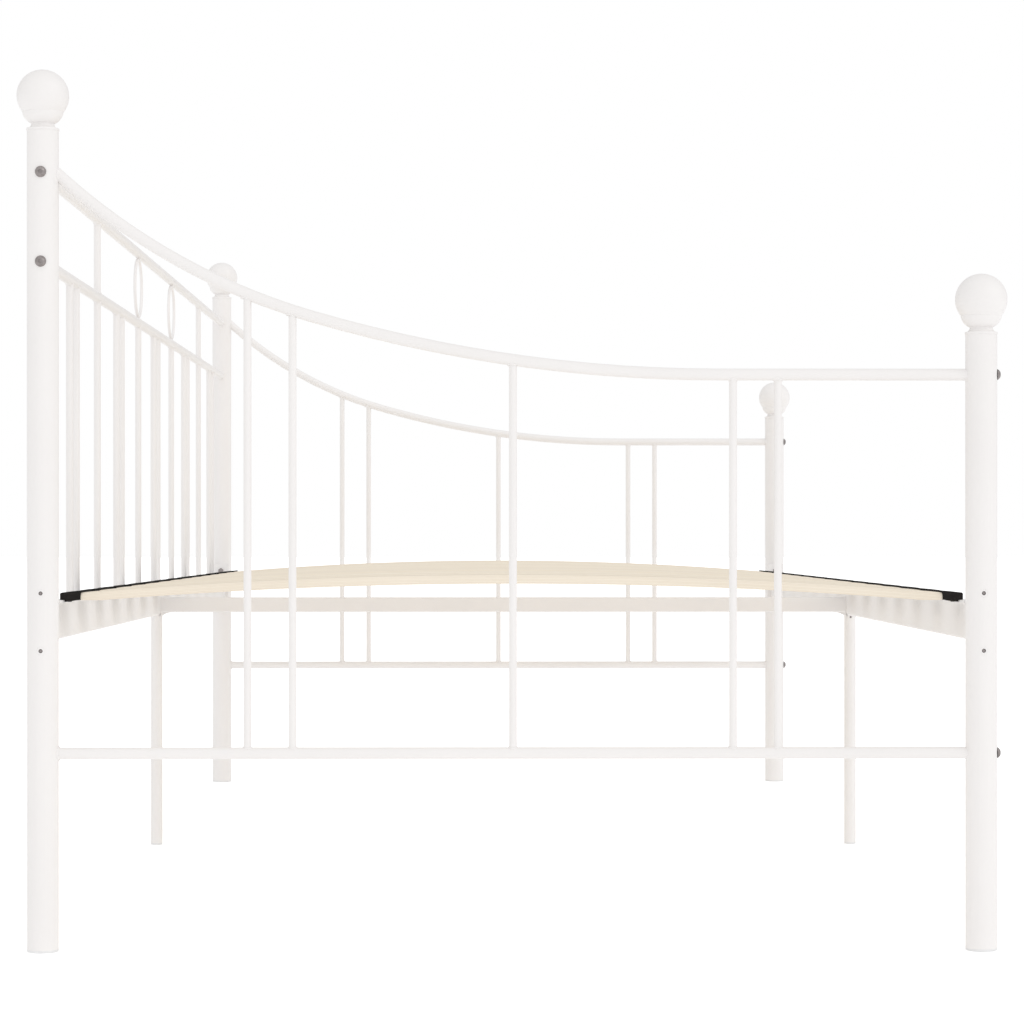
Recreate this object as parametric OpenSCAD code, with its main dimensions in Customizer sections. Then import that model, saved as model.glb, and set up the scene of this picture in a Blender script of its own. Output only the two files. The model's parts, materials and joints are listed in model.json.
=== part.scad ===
// Single daybed: tubular steel frame, spindle ends and back, sprung birch slats.
// X runs along the length, +Y is the tall back, Z is up, and the origin is the
// centre of the footprint on the floor.

/* [Frame] */
// Length between the post centres
frame_length = 2050; // [1950:10:2150]
// Width between the post centres
frame_width = 950; // [930:10:1000]
// Height of the two tall back post tubes
back_post_h = 829; // [820:1:900]
// Height of the two low front post tubes
front_post_h = 624; // [615:1:680]
// Outer diameter of the posts
post_d = 32; // [30:1:34]
// Wall of the post tubes
post_wall = 1.5; // [1:0.5:2]

/* [Finials] */
// Diameter of the ball
ball_d = 52.6; // [50:0.2:56]
// Height of the ball centre over the post tube
ball_rise = 35.5; // [34:0.5:37]
// Diameter of the bowl under the ball, at its rim
bowl_d = 41.2; // [40:0.2:42]
// Diameter of the neck
neck_d = 23; // [21:1:24]
// Diameter of the flange that covers the tube's edge
flange_d = 33.2; // [33:0.2:36]

/* [End panels] */
// Outer diameter of the rails in the ends and the back
rail_d = 12; // [11:0.5:13]
// Wall of those rails
rail_wall = 1; // [1:0.5:1.5]
// Diameter of the solid spindles
spindle_d = 8; // [6:0.5:9]
// Height of the end panel's bottom rail
bottom_rail_z = 200; // [150:5:260]
// Height of the level part of the end panel's top rail
top_rail_z = 583.4; // [560:0.1:590]
// Place where the top rail starts to rise, measured from the bed's middle
rise_start_y = -207; // [-212:1:-200]
// Radius of the slow first bend
slow_bend_r = 1470; // [1450:10:1500]
// Slope where the slow bend ends, as the sine of its angle
slow_bend_sine = 0.28; // [0.27:0.01:0.29]
// Radius of the tighter second bend, which runs to the back post
tight_bend_r = 650; // [640:10:680]
// Distance of the inner spindles from the middle spindle
inner_spindle_y = 223; // [180:1:240]
// Distance of the outer spindles from the middle spindle
outer_spindle_y = 268.5; // [255:0.5:300]

/* [Back railing] */
// Height of the lower railing rail
lower_railing_z = 696; // [680:1:700]
// Height of the upper railing rail
upper_railing_z = 786; // [780:1:800]
// Distance between the two spindles of a pair
pair_spacing = 50; // [40:1:60]
// Diameter of the wire that the rings are bent from
ring_wire_d = 4; // [3:0.5:6]

/* [Side rails] */
// Height of the side rail's section
side_rail_h = 40; // [36:1:44]
// Width of the side rail's section
side_rail_w = 15; // [12:1:20]
// Wall of the side rails and the crossbeam
box_wall = 1.5; // [1:0.5:2]
// Height of the middle of the side rails
side_rail_z = 333; // [325:1:340]
// Height of the top of the ledge that carries the slats
ledge_top_z = 353.9; // [353.5:0.1:354]
// How far the ledge stands out from the inner face of the side rail
ledge_reach = 5.8; // [5.6:0.1:6]
// Thickness of the ledge
ledge_t = 2.6; // [2.4:0.1:3]
// Distance between the two bolts at each end of a side rail
side_bolt_spacing = 58; // [54:1:66]

/* [Slats] */
// Width of a slat
slat_w = 68; // [55:1:75]
// Thickness of a slat
slat_t = 9.4; // [9:0.1:9.6]
// Height of the slats' top at the middle of the bed
slat_crown_z = 380; // [379.5:0.1:381]
// Radius that the slats are bent to
slat_r = 5350; // [5300:10:5400]
// Distance from a post centre to the middle of the first slat
slat_end_gap = 89; // [80:1:100]

/* [Centre support] */
// Side of the square crossbeam
beam_size = 20; // [18:1:22]
// Height of the crossbeam's middle
beam_z = 327; // [325:1:330]
// Outer diameter of the two support legs
leg_d = 16; // [14:1:18]
// Distance of the leg centres inwards from the middle of the side rails
leg_inset = 1.5; // [0:0.5:2]

/* [Hidden] */
$fn = 64;

// Colours
powder_white = [0.93, 0.92, 0.91];
birch = [0.86, 0.74, 0.55];
cap_black = [0.07, 0.07, 0.07];
dark_zinc = [0.35, 0.34, 0.34];
plug_white = [0.88, 0.88, 0.88];

// Sides of the bed
left = -1;
right = 1;
front = -1;
back = 1;

// Places
end_x = frame_length / 2;
post_y = frame_width / 2;
post_r = post_d / 2;
post_bore_r = post_r - post_wall;
rail_r = rail_d / 2;
rail_bore_r = rail_r - rail_wall;
spindle_r = spindle_d / 2;
foot_t = 2.5;
fit_gap = 0.2;
press_gap = 0.05;
through = 1;

// Top rail of the end panels: level, then a slow bend, then a tighter one
slow_centre = [rise_start_y, top_rail_z + slow_bend_r];
slow_bend_angle = asin(slow_bend_sine);
tight_centre = slow_centre
    + (slow_bend_r - tight_bend_r) * [slow_bend_sine, -cos(slow_bend_angle)];
slow_end_y = rise_start_y + slow_bend_r * slow_bend_sine;
tight_end_angle = asin((post_y - tight_centre[0]) / tight_bend_r);
arc_fn = 256;
tube_fn = 48;

function arc_z(centre, r, y) = centre[1] - sqrt(r * r - (y - centre[0]) * (y - centre[0]));
function top_rail_z_at(y) =
    y < rise_start_y ? top_rail_z :
    y < slow_end_y ? arc_z(slow_centre, slow_bend_r, y) :
    arc_z(tight_centre, tight_bend_r, y);

// Back railing: equal bays between the posts
bay_count = 10;
bay = (frame_length - post_d) / bay_count;
pair_bays = [-4, -2, 0, 2, 4];
ring_bays = [-1, 1];
strut_bays = [-3, 3];
ring_z = (lower_railing_z + upper_railing_z) / 2;
ring_r = (upper_railing_z - lower_railing_z) / 2 - rail_r - ring_wire_d / 2;

// Side rails
side_rail_top = side_rail_z + side_rail_h / 2;
side_rail_bottom = side_rail_z - side_rail_h / 2;
side_rail_inner_y = post_y - side_rail_w / 2;
side_rail_corner_r = 3;
plate_t = 3;
plate_w = 26;
plate_edge = 12;
plate_h = side_bolt_spacing + 2 * plate_edge;
plate_x = end_x - post_r - plate_t;
ledge_end_gap = 6;
ledge_inner_y = side_rail_inner_y - ledge_reach;
ledge_overlap = 1.3;

// Slats and their caps
slat_count = 14;
slat_rail_gap = 9.5;
slat_pitch = (frame_length - 2 * slat_end_gap) / (slat_count - 1);
slat_end_y = side_rail_inner_y - slat_rail_gap;
slat_centre_z = slat_crown_z - slat_r;
function slat_x(i) = -end_x + slat_end_gap + (i - 1) * slat_pitch;
slat_rebate = 3;
slat_level_z = slat_crown_z - 26.3;
cap_floor = 1;
cap_roof = 1.8;
cap_side = 2;
cap_length = 24;
cap_corner_r = 1.6;
cap_rail_gap = 2;
cap_end_y = side_rail_inner_y - cap_rail_gap;
cap_mid_y = cap_end_y - cap_length / 2;
cap_h = slat_t - slat_rebate + cap_floor + cap_roof;
cap_tilt = asin(cap_mid_y / slat_r);
cap_mid_r = slat_r + cap_roof - cap_h / 2;
cap_mid_z = slat_centre_z + sqrt(cap_mid_r ^ 2 - cap_mid_y ^ 2);
cap_slant_top = 1;
cap_slant_bottom = 3.4;
cap_gap = 0.15;
rebate_y = cap_mid_y - cap_length / 2 + cap_slant_bottom;
hook_y = ledge_inner_y - fit_gap;
lug_root = 1;
lug_w = 10;
lug_reach = 2.6;

// Centre support
beam_corner_r = 2;
gusset_run = 17.7;
gusset_drop = 5.7;
gusset_edge = 0.3;
gusset_r = (gusset_run ^ 2 + gusset_drop ^ 2) / (2 * gusset_drop);
leg_y = post_y - leg_inset;
leg_r = leg_d / 2;
leg_wall = 1.5;
leg_screw_drop = 3;
leg_screw_z = side_rail_bottom - leg_screw_drop;
leg_screw_r = 1.3;
leg_screw_hole_r = 1.4;

// Fasteners
big_shank_r = 3;
big_head_r = 5.8;
big_head_h = 3.9;
big_socket_af = 4;
big_socket_floor = 1.5;
big_hole_r = 3.4;
insert_l = 27;
insert_start = 2;
insert_bore_r = big_shank_r + 2 * press_gap;
bolt_reach = 25;
small_shank_r = 2;
small_tip = 0.4;
small_head_af = 8;
small_head_h = 3;
bush_r = 4;

// ---- Shared shapes ----

// A shape drawn as (Y, Z), pulled out along X about the middle
module along_x(length) {
    rotate([90, 0, 90])
        linear_extrude(height = length, center = true)
            children();
}

// A shape drawn along Z, laid down to point along +X or -X
module point_x(side) {
    rotate([0, 90 * side, 0])
        children();
}

// A shape drawn along Z, laid down to point along +Y or -Y
module point_y(side) {
    rotate([-90 * side, 0, 0])
        children();
}

module tube(r, bore_r, length) {
    difference() {
        cylinder(r = r, h = length);
        translate([0, 0, -through])
            cylinder(r = bore_r, h = length + 2 * through);
    }
}

module rounded_box_2d(w, h, r) {
    square([w - 2 * r, h], center = true);
    square([w, h - 2 * r], center = true);
    for (x = [-1, 1], y = [-1, 1])
        translate([x * (w / 2 - r), y * (h / 2 - r)])
            circle(r = r);
}

module box_section_2d(w, h, r, wall) {
    difference() {
        rounded_box_2d(w, h, r);
        rounded_box_2d(w - 2 * wall, h - 2 * wall, r / 2);
    }
}

module hexagon(across_flats, h) {
    cylinder(r = across_flats / sqrt(3), h = h, $fn = 6);
}

// Domed bolt with a hex socket; the head sits over z = 0, the shank below
module big_bolt(reach) {
    dome_r = (big_head_r ^ 2 + big_head_h ^ 2) / (2 * big_head_h);
    difference() {
        rotate_extrude()
            intersection() {
                translate([0, big_head_h - dome_r])
                    circle(r = dome_r);
                square([big_head_r, big_head_h]);
            }
        translate([0, 0, big_socket_floor])
            hexagon(big_socket_af, big_head_h);
    }
    translate([0, 0, -reach])
        cylinder(r = big_shank_r, h = reach);
}

module at_post(side_x, side_y) {
    translate([side_x * end_x, side_y * post_y, 0])
        children();
}

// ---- Posts ----

// Holes of one radius through both walls of a post, along X
module x_holes(r, heights) {
    for (z = heights)
        translate([0, 0, z])
            rotate([0, 90, 0])
                cylinder(r = r, h = post_d + 2 * through, center = true);
}

module y_holes(r, heights) {
    for (z = heights)
        translate([0, 0, z])
            rotate([90, 0, 0])
                cylinder(r = r, h = post_d + 2 * through, center = true);
}

side_bolt_heights = [side_rail_z - side_bolt_spacing / 2, side_rail_z + side_bolt_spacing / 2];
railing_heights = [lower_railing_z, upper_railing_z];
panel_heights = [bottom_rail_z, top_rail_z];

module back_post(side) {
    color(powder_white)
        at_post(side, back)
            difference() {
                translate([0, 0, foot_t])
                    tube(post_r, post_bore_r, back_post_h - foot_t);
                x_holes(bush_r + press_gap, side_bolt_heights);
                x_holes(big_hole_r, railing_heights);
            }
}

module front_post(side) {
    color(powder_white)
        at_post(side, front)
            difference() {
                translate([0, 0, foot_t])
                    tube(post_r, post_bore_r, front_post_h - foot_t);
                x_holes(bush_r + press_gap, side_bolt_heights);
                y_holes(big_hole_r, panel_heights);
            }
}

// ---- Finials: a ball in a bowl, on a flared neck with a spigot into the tube ----

module finial_profile() {
    spigot_l = 20;
    flange_h = 2.5;
    neck_z = 7.3;
    flare_top_r = neck_d / 2;
    flare_r = neck_z - flange_h;
    bowl_centre = [6.1, 20.9];
    bowl_r = 14.66;
    rim_z = 19;
    flange_cover = 0.75;
    // Spigot, flange and neck
    translate([0, -spigot_l])
        square([post_bore_r - fit_gap, spigot_l + flange_h / 2]);
    square([flange_d / 2, flange_h]);
    difference() {
        square([flare_top_r + flare_r * flange_cover, neck_z]);
        translate([flare_top_r + flare_r, neck_z])
            circle(r = flare_r);
    }
    // Bowl
    intersection() {
        union() {
            translate(bowl_centre)
                circle(r = bowl_r);
            translate([0, neck_z - through])
                square([bowl_centre[0], rim_z]);
        }
        translate([0, neck_z - through / 2])
            square([bowl_d / 2, rim_z - neck_z + through / 2]);
    }
    // Ball
    intersection() {
        translate([0, ball_rise])
            circle(r = ball_d / 2);
        translate([0, rim_z])
            square([ball_d, ball_d]);
    }
}

module finial(side_x, side_y, post_h) {
    color(powder_white)
        at_post(side_x, side_y)
            translate([0, 0, post_h])
                rotate_extrude()
                    finial_profile();
}

// ---- Plastic feet in the bottom of the tubes ----

module foot(outer_r, bore_r) {
    chamfer = 0.8;
    spigot_l = 18;
    cylinder(r1 = outer_r - chamfer, r2 = outer_r, h = chamfer);
    translate([0, 0, chamfer])
        cylinder(r = outer_r, h = foot_t - chamfer);
    cylinder(r = bore_r - fit_gap, h = foot_t + spigot_l);
}

module post_feet() {
    color(plug_white)
        for (x = [left, right], y = [front, back])
            at_post(x, y)
                foot(post_r, post_bore_r);
}

// ---- End panels ----

// Puts a shape at a bend's centre, where the angle runs from straight down towards +Y
module at_bend(centre, angle) {
    translate([0, centre[0], centre[1]])
        rotate([0, 90, 0])
            rotate([0, 0, angle])
                children();
}

module bend(r, sweep, bore_r) {
    rotate_extrude(angle = sweep, $fn = arc_fn)
        translate([r, 0])
            difference() {
                circle(r = rail_r, $fn = tube_fn);
                if (bore_r > 0)
                    circle(r = bore_r, $fn = tube_fn);
            }
}

// The top rail from post to post, as a tube, or solid where bore_r is 0
module top_rail_path(bore_r) {
    level_l = post_y + rise_start_y;
    spare_sweep = 1;
    translate([0, -post_y, top_rail_z])
        point_y(back)
            difference() {
                cylinder(r = rail_r, h = level_l);
                if (bore_r > 0)
                    translate([0, 0, -through])
                        cylinder(r = bore_r, h = level_l + 2 * through);
            }
    difference() {
        at_bend(slow_centre, 0)
            bend(slow_bend_r, slow_bend_angle + spare_sweep, bore_r);
        // The slow bend is cut square where the tight one starts
        at_bend(slow_centre, slow_bend_angle)
            translate([0, 0, -rail_d])
                cube([2 * slow_bend_r, slow_bend_r, 2 * rail_d]);
    }
    at_bend(tight_centre, slow_bend_angle)
        bend(tight_bend_r, tight_end_angle - slow_bend_angle, bore_r);
}

// The two posts of an end as solid bars, which the rail ends are notched to fit
module post_pair() {
    for (y = [front, back])
        translate([0, y * post_y, 0])
            cylinder(r = post_r, h = back_post_h);
}

module end_top_rail(side) {
    color(powder_white)
        translate([side * end_x, 0, 0])
            difference() {
                top_rail_path(rail_bore_r);
                post_pair();
            }
}

module end_bottom_rail(side) {
    color(powder_white)
        translate([side * end_x, 0, 0])
            difference() {
                translate([0, -post_y, bottom_rail_z])
                    point_y(back)
                        tube(rail_r, rail_bore_r, frame_width);
                post_pair();
            }
}

module end_spindle(y) {
    difference() {
        translate([0, y, bottom_rail_z])
            cylinder(r = spindle_r, h = top_rail_z_at(y) - bottom_rail_z);
        translate([0, y - rail_d, bottom_rail_z])
            point_y(back)
                cylinder(r = rail_r, h = 2 * rail_d);
        top_rail_path(0);
    }
}

module end_spindles(side) {
    color(powder_white)
        translate([side * end_x, 0, 0])
            for (y = [-outer_spindle_y, -inner_spindle_y, 0, inner_spindle_y, outer_spindle_y])
                end_spindle(y);
}

// Threaded inserts in the front ends of the end rails, and their bolts
module panel_inserts() {
    color(dark_zinc)
        for (x = [left, right], z = panel_heights)
            translate([x * end_x, -(post_y - post_r - insert_start), z])
                point_y(back)
                    tube(rail_bore_r - press_gap, insert_bore_r, insert_l);
}

module panel_bolts() {
    color(dark_zinc)
        for (x = [left, right], z = panel_heights)
            translate([x * end_x, -(post_y + post_r), z])
                point_y(front)
                    big_bolt(post_d + bolt_reach);
}

// ---- Back railing ----

// The two back posts as solid bars, which the railing ends are notched to fit
module back_post_pair() {
    for (x = [left, right])
        at_post(x, back)
            cylinder(r = post_r, h = back_post_h);
}

module railing_rail(z) {
    color(powder_white)
        difference() {
            translate([-end_x, post_y, z])
                point_x(right)
                    tube(rail_r, rail_bore_r, frame_length);
            back_post_pair();
        }
}

// A solid bar as thick as a railing rail, to notch the upright that meets it
module rail_notch(x, z) {
    translate([x - rail_d, post_y, z])
        point_x(right)
            cylinder(r = rail_r, h = 2 * rail_d);
}

module railing_spindle(x) {
    difference() {
        translate([x, post_y, side_rail_top])
            cylinder(r = spindle_r, h = lower_railing_z - side_rail_top);
        rail_notch(x, lower_railing_z);
    }
}

module railing_single_spindles() {
    color(powder_white)
        for (b = concat(ring_bays, strut_bays))
            railing_spindle(b * bay);
}

module railing_pair_spindles() {
    color(powder_white)
        for (b = pair_bays, s = [-1, 1])
            railing_spindle(b * bay + s * pair_spacing / 2);
}

module railing_struts() {
    color(powder_white)
        for (b = strut_bays)
            difference() {
                translate([b * bay, post_y, lower_railing_z])
                    cylinder(r = spindle_r, h = upper_railing_z - lower_railing_z);
                rail_notch(b * bay, lower_railing_z);
                rail_notch(b * bay, upper_railing_z);
            }
}

module railing_rings() {
    color(powder_white)
        for (b = ring_bays)
            translate([b * bay, post_y, ring_z])
                rotate([90, 0, 0])
                    rotate_extrude()
                        translate([ring_r, 0])
                            circle(r = ring_wire_d / 2);
}

module railing_inserts() {
    color(dark_zinc)
        for (x = [left, right], z = railing_heights)
            translate([x * (end_x - post_r - insert_start), post_y, z])
                point_x(-x)
                    tube(rail_bore_r - press_gap, insert_bore_r, insert_l);
}

module railing_bolts() {
    color(dark_zinc)
        for (x = [left, right], z = railing_heights)
            translate([x * (end_x + post_r), post_y, z])
                point_x(x)
                    big_bolt(post_d + bolt_reach);
}

// ---- Side rails and the ledges that carry the slats ----

module side_rail(side) {
    color(powder_white)
        difference() {
            translate([0, side * post_y, side_rail_z])
                along_x(2 * plate_x)
                    box_section_2d(side_rail_w, side_rail_h, side_rail_corner_r, box_wall);
            translate([0, side * post_y, beam_z])
                rotate([90, 0, 0])
                    cylinder(r = big_hole_r, h = side_rail_w + 2 * through, center = true);
        }
}

// A flat bar welded to the shoulder of the side rail, with a notch for each slat's cap
module slat_ledge(side) {
    ledge_l = 2 * (plate_x - ledge_end_gap);
    ledge_w = ledge_reach + ledge_overlap;
    notch_w = lug_w + 2 * fit_gap;
    notch_reach = lug_reach + fit_gap;
    color(powder_white)
        difference() {
            translate([0, side * (ledge_inner_y + ledge_w / 2), ledge_top_z - ledge_t / 2])
                cube([ledge_l, ledge_w, ledge_t], center = true);
            translate([0, side * post_y, side_rail_z])
                along_x(ledge_l + 2 * through)
                    rounded_box_2d(side_rail_w, side_rail_h, side_rail_corner_r);
            for (i = [1 : slat_count])
                translate([slat_x(i), side * ledge_inner_y, ledge_top_z])
                    cube([notch_w, 2 * notch_reach, 3 * ledge_t], center = true);
        }
}

module rail_end_plates() {
    color(powder_white)
        for (x = [left, right], y = [front, back])
            difference() {
                translate([x * (plate_x + plate_t / 2), y * post_y, side_rail_z])
                    cube([plate_t, plate_w, plate_h], center = true);
                for (z = side_bolt_heights)
                    translate([x * (plate_x - through), y * post_y, z])
                        point_x(x)
                            cylinder(r = small_shank_r + fit_gap, h = plate_t + 2 * through);
            }
}

// Threaded sleeves welded through the posts, which keep the tubes from crushing
module side_rail_bushes() {
    color(powder_white)
        for (x = [left, right], y = [front, back], z = side_bolt_heights)
            intersection() {
                translate([x * (end_x - post_r), y * post_y, z])
                    point_x(x)
                        tube(bush_r, small_shank_r + press_gap, post_d);
                at_post(x, y)
                    cylinder(r = post_r, h = back_post_h);
            }
}

// Hex bolts from the inner side of the plates; their tips show in the bushes' outer ends
module side_rail_bolts() {
    shank_l = plate_t + post_d - small_tip;
    color(dark_zinc)
        for (x = [left, right], y = [front, back], z = side_bolt_heights)
            translate([x * plate_x, y * post_y, z])
                point_x(-x) {
                    hexagon(small_head_af, small_head_h);
                    translate([0, 0, -shank_l])
                        cylinder(r = small_shank_r, h = shank_l);
                }
}

// ---- Centre support ----

module crossbeam() {
    color(powder_white)
        translate([0, side_rail_inner_y, beam_z])
            rotate([90, 0, 0])
                linear_extrude(height = 2 * side_rail_inner_y)
                    box_section_2d(beam_size, beam_size, beam_corner_r, box_wall);
}

// A curved web under each end of the beam, against the side rail
module beam_gussets() {
    beam_bottom = beam_z - beam_size / 2;
    color(powder_white)
        for (y = [front, back])
            difference() {
                along_x(beam_size - 2 * beam_corner_r)
                    difference() {
                        translate([y * (side_rail_inner_y - gusset_run / 2), beam_bottom - gusset_drop])
                            square([gusset_run, 2 * gusset_drop], center = true);
                        translate([y * (side_rail_inner_y - gusset_run),
                                beam_bottom - gusset_edge - gusset_r])
                            circle(r = gusset_r, $fn = arc_fn);
                    }
                // The web stops at the leg
                translate([0, y * leg_y, 0])
                    cylinder(r = leg_r + fit_gap / 2, h = side_rail_bottom);
            }
}

module beam_inserts() {
    bore = beam_size - 2 * (box_wall + press_gap);
    color(dark_zinc)
        for (y = [front, back])
            translate([0, y * (side_rail_inner_y - insert_start), beam_z])
                point_y(-y)
                    difference() {
                        linear_extrude(height = insert_l)
                            rounded_box_2d(bore, bore, beam_corner_r);
                        translate([0, 0, -through])
                            cylinder(r = insert_bore_r, h = insert_l + 2 * through);
                    }
}

module beam_bolts() {
    color(dark_zinc)
        for (y = [front, back])
            translate([0, y * (post_y + side_rail_w / 2), beam_z])
                point_y(y)
                    big_bolt(side_rail_w + bolt_reach);
}

module support_leg(side) {
    color(powder_white)
        translate([0, side * leg_y, 0])
            difference() {
                translate([0, 0, foot_t])
                    tube(leg_r, leg_r - leg_wall, side_rail_bottom - foot_t);
                translate([0, 0, leg_screw_z])
                    point_x(side)
                        cylinder(r = leg_screw_hole_r, h = leg_d);
            }
}

module leg_feet() {
    color(plug_white)
        for (y = [front, back])
            translate([0, y * leg_y, 0])
                foot(leg_r, leg_r - leg_wall);
}

// Spigots welded under the side rails, which the legs push onto
module leg_spigots() {
    spigot_l = 25;
    color(powder_white)
        for (y = [front, back])
            translate([0, y * leg_y, side_rail_bottom - spigot_l])
                difference() {
                    cylinder(r = leg_r - leg_wall - fit_gap, h = spigot_l);
                    translate([0, 0, spigot_l - (side_rail_bottom - leg_screw_z)])
                        point_x(y)
                            cylinder(r = leg_screw_hole_r, h = leg_d);
                }
}

// Set screws that hold the legs on their spigots, just below the legs' surface
module leg_screws() {
    recess = 0.2;
    socket_af = 1.3;
    socket_depth = 1.2;
    screw_l = leg_r - through - recess;
    color(dark_zinc)
        for (y = [front, back])
            translate([y * through, y * leg_y, leg_screw_z])
                point_x(y)
                    difference() {
                        cylinder(r = leg_screw_r, h = screw_l);
                        translate([0, 0, screw_l - socket_depth])
                            cylinder(d = socket_af / cos(30), h = screw_l, $fn = 6);
                    }
}

// ---- Slats and their end caps ----

// A bent slat's side outline, larger all round by a margin. Its ends are planed level
// underneath, and are thinner still where the caps hold them.
module slat_outline(margin) {
    length = 2 * (slat_end_y + margin);
    bend_room = 10 * slat_t;
    under_r = slat_r - slat_t - margin;
    difference() {
        intersection() {
            difference() {
                translate([0, slat_centre_z])
                    circle(r = slat_r + margin, $fn = arc_fn);
                translate([0, slat_centre_z])
                    circle(r = under_r, $fn = arc_fn);
            }
            translate([0, slat_crown_z - slat_t])
                square([length, bend_room], center = true);
        }
        intersection() {
            translate([0, slat_centre_z])
                circle(r = under_r + slat_rebate, $fn = arc_fn);
            for (s = [-1, 1])
                translate([s * (rebate_y - margin + bend_room / 2), slat_crown_z - slat_t])
                    square([bend_room, bend_room], center = true);
        }
        translate([0, slat_level_z - margin - bend_room / 2])
            square([2 * length, bend_room], center = true);
    }
}

module slat_body(margin) {
    along_x(slat_w + 2 * margin)
        slat_outline(margin);
}

module slat(i) {
    color(birch)
        translate([slat_x(i), 0, 0])
            slat_body(0);
}

// The cap's outline on the +Y side, as (Y, Z)
module cap_outline() {
    difference() {
        translate([cap_mid_y, cap_mid_z])
            rotate(-cap_tilt)
                difference() {
                    rounded_box_2d(cap_length, cap_h, cap_corner_r);
                    // The inner edge slants back towards the bottom
                    polygon([
                        [-cap_length / 2 - through, cap_h / 2 + through],
                        [-cap_length / 2 + cap_slant_top, cap_h / 2 + through],
                        [-cap_length / 2 + cap_slant_bottom, -cap_h / 2 - through],
                        [-cap_length / 2 - through, -cap_h / 2 - through]
                    ]);
                }
        // The nose is cut level where it rests on the ledge
        translate([hook_y, ledge_top_z - cap_h])
            square([cap_length, cap_h]);
    }
}

// The cap's nose rests on the ledge, and a lug under it fits the ledge's notch
module slat_cap() {
    difference() {
        union() {
            along_x(slat_w + 2 * cap_side)
                cap_outline();
            translate([0, hook_y, ledge_top_z + (lug_root - ledge_t) / 2])
                cube([lug_w, 2 * lug_reach, lug_root + ledge_t], center = true);
        }
        slat_body(cap_gap);
    }
}

module slat_caps(side) {
    color(cap_black)
        for (i = [1 : slat_count])
            translate([slat_x(i), 0, 0])
                rotate([0, 0, side == back ? 0 : 180])
                    slat_cap();
}

back_post(left);  // back_post_left
back_post(right);  // back_post_right
front_post(left);  // front_post_left
front_post(right);  // front_post_right
finial(left, back, back_post_h);  // back_finial_left
finial(right, back, back_post_h);  // back_finial_right
finial(left, front, front_post_h);  // front_finial_left
finial(right, front, front_post_h);  // front_finial_right
post_feet();
end_top_rail(left);  // end_top_rail_left
end_top_rail(right);  // end_top_rail_right
end_bottom_rail(left);  // end_bottom_rail_left
end_bottom_rail(right);  // end_bottom_rail_right
end_spindles(left);  // end_spindles_left
end_spindles(right);  // end_spindles_right
panel_inserts();
panel_bolts();
railing_rail(upper_railing_z);  // railing_upper_rail
railing_rail(lower_railing_z);  // railing_lower_rail
railing_single_spindles();
railing_pair_spindles();
railing_struts();
railing_rings();
railing_inserts();
railing_bolts();
side_rail(back);  // side_rail_back
side_rail(front);  // side_rail_front
slat_ledge(back);  // slat_ledge_back
slat_ledge(front);  // slat_ledge_front
rail_end_plates();
side_rail_bolts();
side_rail_bushes();
crossbeam();
beam_gussets();
beam_inserts();
beam_bolts();
support_leg(back);  // support_leg_back
support_leg(front);  // support_leg_front
leg_feet();
leg_spigots();
leg_screws();
slat_caps(back);  // slat_caps_back
slat_caps(front);  // slat_caps_front
slat(1);  // slat_01
slat(2);  // slat_02
slat(3);  // slat_03
slat(4);  // slat_04
slat(5);  // slat_05
slat(6);  // slat_06
slat(7);  // slat_07
slat(8);  // slat_08
slat(9);  // slat_09
slat(10);  // slat_10
slat(11);  // slat_11
slat(12);  // slat_12
slat(13);  // slat_13
slat(14);  // slat_14
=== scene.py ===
"""Looks of a single daybed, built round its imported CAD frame.

Metres, in the CAD's own frame: X along the bed, +Y the tall back, Z up from the floor.
Tubes, rails, plates and bushes keep their CAD meshes. Slats, end caps, finials, feet, bolts and
screws are built here in finer form, in the places that their CAD nodes hold. Weld beads are added.
"""

import json
import math
import random

import bmesh
import bpy
from mathutils import Matrix, Vector


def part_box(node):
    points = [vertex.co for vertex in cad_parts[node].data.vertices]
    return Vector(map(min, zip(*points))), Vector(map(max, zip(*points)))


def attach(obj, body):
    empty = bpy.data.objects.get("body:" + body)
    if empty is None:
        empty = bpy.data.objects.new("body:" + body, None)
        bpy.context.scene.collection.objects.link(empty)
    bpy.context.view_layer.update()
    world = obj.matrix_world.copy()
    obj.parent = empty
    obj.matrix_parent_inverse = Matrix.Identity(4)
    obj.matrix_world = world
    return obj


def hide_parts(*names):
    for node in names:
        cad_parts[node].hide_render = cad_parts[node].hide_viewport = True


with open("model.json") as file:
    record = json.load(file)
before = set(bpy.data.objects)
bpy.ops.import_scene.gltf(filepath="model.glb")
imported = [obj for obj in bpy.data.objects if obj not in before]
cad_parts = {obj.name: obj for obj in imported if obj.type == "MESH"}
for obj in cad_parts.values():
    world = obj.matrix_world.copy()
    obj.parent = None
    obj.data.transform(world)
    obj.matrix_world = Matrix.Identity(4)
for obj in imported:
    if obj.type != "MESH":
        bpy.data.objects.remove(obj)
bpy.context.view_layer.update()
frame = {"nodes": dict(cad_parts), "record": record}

MM = 0.001
LEFT, RIGHT = -1, 1
FRONT, BACK = -1, 1
SIDES = (LEFT, RIGHT)
DEPTHS = (FRONT, BACK)


# ---- Sizes read from the frame ----

def middle(node, axis):
    low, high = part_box(node)
    return (low[axis] + high[axis]) / 2


def span(node, axis):
    low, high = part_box(node)
    return high[axis] - low[axis]


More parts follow.
